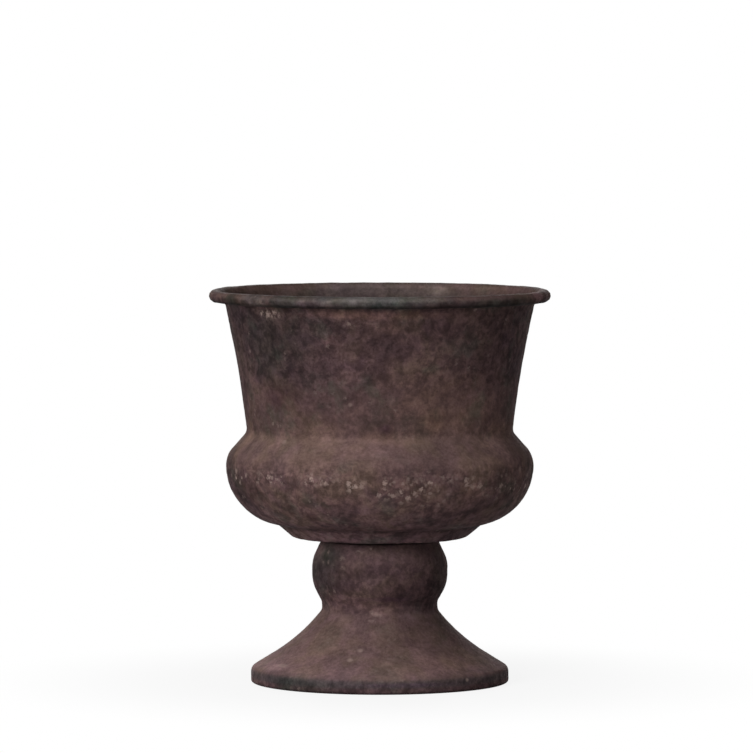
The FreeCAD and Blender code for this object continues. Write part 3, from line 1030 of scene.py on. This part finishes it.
# %% [markdown]
# The pedestal's own marks. The band of the foot is grey green, with painted shade where it meets the
# ground, its upper edge is rubbed, and the ball is darker on its left. Painted shade also lies in the
# joint under the bowl, along the ball's lower edge and on the right side. It could share the bowl's
# material, but its heights, rings and spots are its own, so the same function makes a second one.

# %% The pedestal's patina
GREEN_PAINT = tone(84, 83, 80)
GREEN_GREY = (0.58, 0.68, 0.64)
LIGHT = (1.5, 1.52, 1.5)

pedestal_heights = [
    (0, 0.8, 1.1), (8, 0.88, 1.12), (14, 1.26, 1.08), (22, 1.12, 1.03), (34, 0.99, 1.03),
    (60, 0.96, 1.05), (74, 0.78, 1.07), (100, 0.84, 1.08),
]
pedestal_bands = [
    (4.6, 10.4, 1.6, 0.4, 60.0, GREEN_PAINT),
    # Painted shade at the foot's lower edge and in the joint between the ball and the bowl.
    (-3.0, 1.6, 0.9, 0.45, 60.0, PAINTED_SHADE),
    (108.2, 113.0, 1.2, 0.95, 30.0, PAINTED_SHADE),
]
# On the pedestal the spots are tone of the paint, except the purple line low on the ball, which is a purple
# tint and painted shade along the ball's lower edge above the neck.
pedestal_tints_and_shading = [
    ((-44, 51, 90, 26, 20), (0.68, 0.79, 0.78)), ((-38, 50, 99, 14, 9), (0.6, 0.66, 0.64)),
    ((-26, 51, 88, 22, 18), (0.81, 0.79, 0.83)), ((-20, 50, 78, 13, 5), (1.3, 1.29, 1.3)),
    ((46, 51, 84, 14, 22), (0.86, 0.95, 0.92)), ((4, 48, 67, 24, 2.4), (0.86, 0.8, 0.94)),
    ((24, 60, 43, 30, 18), (0.87, 0.85, 0.88)), ((-26, 45, 58, 14, 7), (0.78, 0.78, 0.8)),
    ((-66, 70, 38, 24, 12), (1.12, 1.12, 1.12)), ((50, 88, 20, 46, 7), (1.22, 1.2, 1.18)),
    ((-62, 98, 5, 36, 9), GREEN_GREY), ((20, 98, 7, 40, 2.0), (1.1, 1.02, 1.18)),
    ((34, 98, 5, 20, 8), (0.88, 0.9, 0.91)), ((-42, 98, 5, 20, 8), (0.92, 0.94, 0.94)),
    ((76, 98, 5, 15, 8), (1.22, 1.18, 1.16)), ((-84, 95, 9, 12, 5), (0.85, 0.87, 0.87)),
    ((-82, 94, 15.5, 12, 2.6), LIGHT), ((4, 52, 98, 14, 6), (1.1, 1.07, 1.12)),
    ((2, 46, 58, 9, 4), LIGHT), ((24, 46, 57, 13, 7), (1.25, 1.3, 1.32)),
]
pedestal_scuffs = [((-3, 46, 54, 9, 5), 0.5), ((-6, 46, 104, 14, 3), 0.7), ((-27, 51, 94, 9, 8), 0.3)]
pedestal_flecks = [
    ((-14.8, 69.6, 30.8, 2.5, 2.2), 0.45), ((-22.6, 78.4, 24.4, 2.7, 2.4), 0.5),
    ((-74.7, 90.0, 17.2, 8.0, 1.5), 0.36), ((66.2, 98.9, 8.8, 1.9, 1.8), 0.45),
    ((-2.6, 44.9, 55.6, 2.6, 2.0), 0.3),
]
pedestal_patina = patina(
    "pedestal_patina", pedestal_heights, pedestal_bands, pedestal_tints_and_shading, pedestal_scuffs, pedestal_flecks,
    side=0.22, edge_shade=0.0,
)
for piece in (ball, bell_foot):
    piece.data.materials.append(pedestal_patina)

# %% [markdown]
# Everything else gets a plain finish: zinc plate on the bolt, the nut and the washers, black rubber on
# the seal, drawn wire in the rim, and thin brown paint on the weld and the neck cup. One flat colour for
# each could do for parts that are mostly hidden. Real plate and rubber vary a little, so one function
# gives each finish two colours and an uneven gloss.

# %% Finishes of the small parts


def plain_finish(name, colour, spot_colour, metallic, roughness, size_mm):
    """A finish whose colour and roughness vary in spots of about the given size."""
    material, tree, shader = new_material(name)
    place = add("TexCoord", {}, tree).outputs["Object"]
    spots = noise(place, size_mm, detail=4, roughness=0.65)
    put(shader.inputs["Base Color"], mix(smooth_step(spots, 0.42, 0.68), colour, spot_colour))
    shader.inputs["Metallic"].default_value = metallic
    put(shader.inputs["Roughness"], smooth_step(spots, 0.3, 0.7, roughness, roughness + 0.2))
    fine = noise(place, size_mm / 4, detail=2)
    bump = add("Bump", {"Height": fine, "Strength": 0.4, "Distance": 0.15 * MM})
    put(shader.inputs["Normal"], bump.outputs["Normal"])
    return material


zinc = plain_finish("zinc_plate", tone(168, 168, 164), tone(128, 124, 116), 1.0, 0.38, 3.0)
wire = plain_finish("drawn_wire", tone(150, 148, 144), tone(112, 96, 84), 1.0, 0.42, 5.0)
rubber = plain_finish("seal_rubber", tone(34, 34, 34), tone(48, 46, 44), 0.0, 0.7, 4.0)
inner_paint = plain_finish("inner_paint", tone(78, 62, 59), tone(52, 42, 41), 0.0, 0.75, 9.0)
weld_paint = plain_finish("weld_paint", tone(84, 67, 63), tone(58, 47, 46), 0.0, 0.7, 6.0)

finishes = {"head_washer": zinc, "nut_washer": zinc, "lock_washer": zinc}
finishes |= {"seal_washer": rubber, "rim_wire": wire, "neck_cup": inner_paint}
for node, finish in finishes.items():
    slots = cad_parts[node].data.materials
    if len(slots):
        slots[0] = finish
    else:
        slots.append(finish)
for piece, finish in ((bolt, zinc), (nut, zinc), (weld_bead, weld_paint)):
    piece.data.materials.append(finish)
print("finished", len(finishes), "solids")

# %% [markdown]
# The urn stands on a pale floor that turns white a step away, as in a catalogue picture. A floor that
# only reflects would darken wherever less light reaches it. So this one glows white, though only for the
# camera and in reflections, by a share that grows with the distance. The rest is a real surface, so that
# the urn's shadow lies on it.

# %% Floor and world
FLOOR_REACH = 40.0
WHITE_FROM = 0.10
WHITE_TO = 0.34
WHITE_NEAR = 0.88
WHITE = (1.0, 1.0, 1.0, 1.0)
AMBIENT = 0.072


def looked_at(tree):
    """1 for rays from the camera, a reflection or through glass, and 0 for rays that only carry light."""
    path = add("LightPath", {}, tree).outputs
    seen = maths("MAXIMUM", path["Is Camera Ray"], path["Is Glossy Ray"])
    return maths("MAXIMUM", seen, path["Is Transmission Ray"])


def pale_floor():
    """A floor whose white share grows smoothly, from WHITE_NEAR to all of it, with the distance."""
    signs = ((-1, -1), (1, -1), (1, 1), (-1, 1))
    mesh = bpy.data.meshes.new("floor")
    mesh.from_pydata([(x * FLOOR_REACH, y * FLOOR_REACH, 0.0) for x, y in signs], [], [(0, 1, 2, 3)])
    material, tree, shader = new_material("pale_floor")
    shader.inputs["Base Color"].default_value = (0.85, 0.85, 0.85, 1.0)
    shader.inputs["Roughness"].default_value = 0.9
    shader.inputs["Specular IOR Level"].default_value = 0.0
    place = add("TexCoord", {}, tree).outputs["Object"]
    distance = add("VectorMath", {0: place}, operation="LENGTH").outputs["Value"]
    far = smooth_step(distance, WHITE_FROM, WHITE_TO, WHITE_NEAR, 1.0)
    share = times(looked_at(tree), far)
    white = add("Emission", {"Color": WHITE, "Strength": 1.0}, tree)
    blend = add("MixShader", {0: share, 1: shader.outputs[0], 2: white.outputs[0]})
    put(tree.nodes["Material Output"].inputs["Surface"], blend.outputs[0])
    mesh.materials.append(material)
    return in_scene("floor", mesh)


def white_world():
    """A world that is white to the camera and in reflections, and a plain grey light otherwise."""
    world = bpy.data.worlds.new("studio")
    world.use_nodes = True
    bpy.context.scene.world = world
    tree = world.node_tree
    background = tree.nodes["Background"]
    background.inputs["Color"].default_value = WHITE
    put(background.inputs["Strength"], smooth_step(looked_at(tree), 0.0, 1.0, AMBIENT, 1.0))


pale_floor()
white_world()
print("the floor is all white from", WHITE_TO, "metres on")

# %% [markdown]
# Three soft lamps. Point lamps or a sun would throw hard shadows, so all three are squares. A large one
# in front, to the left and above, models the urn and lets its right side fall away. A weaker one
# overhead brightens what faces up: the bulge's shoulder and the foot's flare. The third stands straight
# behind the urn and lights its back.

# %% Lamps
LAMP_TARGET = (0.0, 0.0, 0.15)


def soft_lamp(name, place, size, power):
    """A square area lamp at a place and with a size in metres, aimed at the lamps' target."""
    data = bpy.data.lights.new(name, "AREA")
    data.shape = "SQUARE"
    data.size = size
    data.energy = power
    lamp = in_scene(name, data)
    lamp.location = place
    way = np.array(LAMP_TARGET) - np.array(place)
    tilt = math.acos(-way[2] / np.linalg.norm(way))
    lamp.rotation_euler = (tilt, 0.0, math.atan2(way[1], way[0]) - math.pi / 2)
    return lamp


lamps = [
    soft_lamp("front_lamp", (-1.70, -2.66, 1.12), 1.2, 67.0),
    soft_lamp("top_lamp", (-0.80, -1.72, 2.85), 1.2, 15.0),
    soft_lamp("back_lamp", (0.0, 3.05, 1.30), 0.5, 34.0),
]
for lamp in lamps:
    print(lamp.name, "stands", round(lamp.location.length, 2), "metres from the foot")

# %% [markdown]
# The photograph was taken with a long lens from a little above the rim, almost five metres away. A
# nearer camera with a shorter lens could show the urn just as large, but the ellipses at the rim and at
# the foot would differ more from each other. How flat the two are gives the height and the distance.

# %% Camera
PHOTO_SIZE = 753
FOCAL_IN_PIXELS = 6270.0
SENSOR_WIDTH = 36.0
CAMERA_PLACE = (-0.0025, -4.784, 0.5153)
CAMERA_TILT = 0.05876

camera_data = bpy.data.cameras.new("camera")
camera_data.sensor_width = SENSOR_WIDTH
camera_data.lens = FOCAL_IN_PIXELS / PHOTO_SIZE * SENSOR_WIDTH
camera_data.clip_end = 5 * FLOOR_REACH
camera = in_scene("camera", camera_data)
camera.location = CAMERA_PLACE
camera.rotation_euler = (math.pi / 2 - CAMERA_TILT, 0.0, 0.0)
bpy.context.scene.camera = camera
bpy.context.scene.view_settings.view_transform = "Standard"
print("lens in millimetres:", round(camera_data.lens, 1))
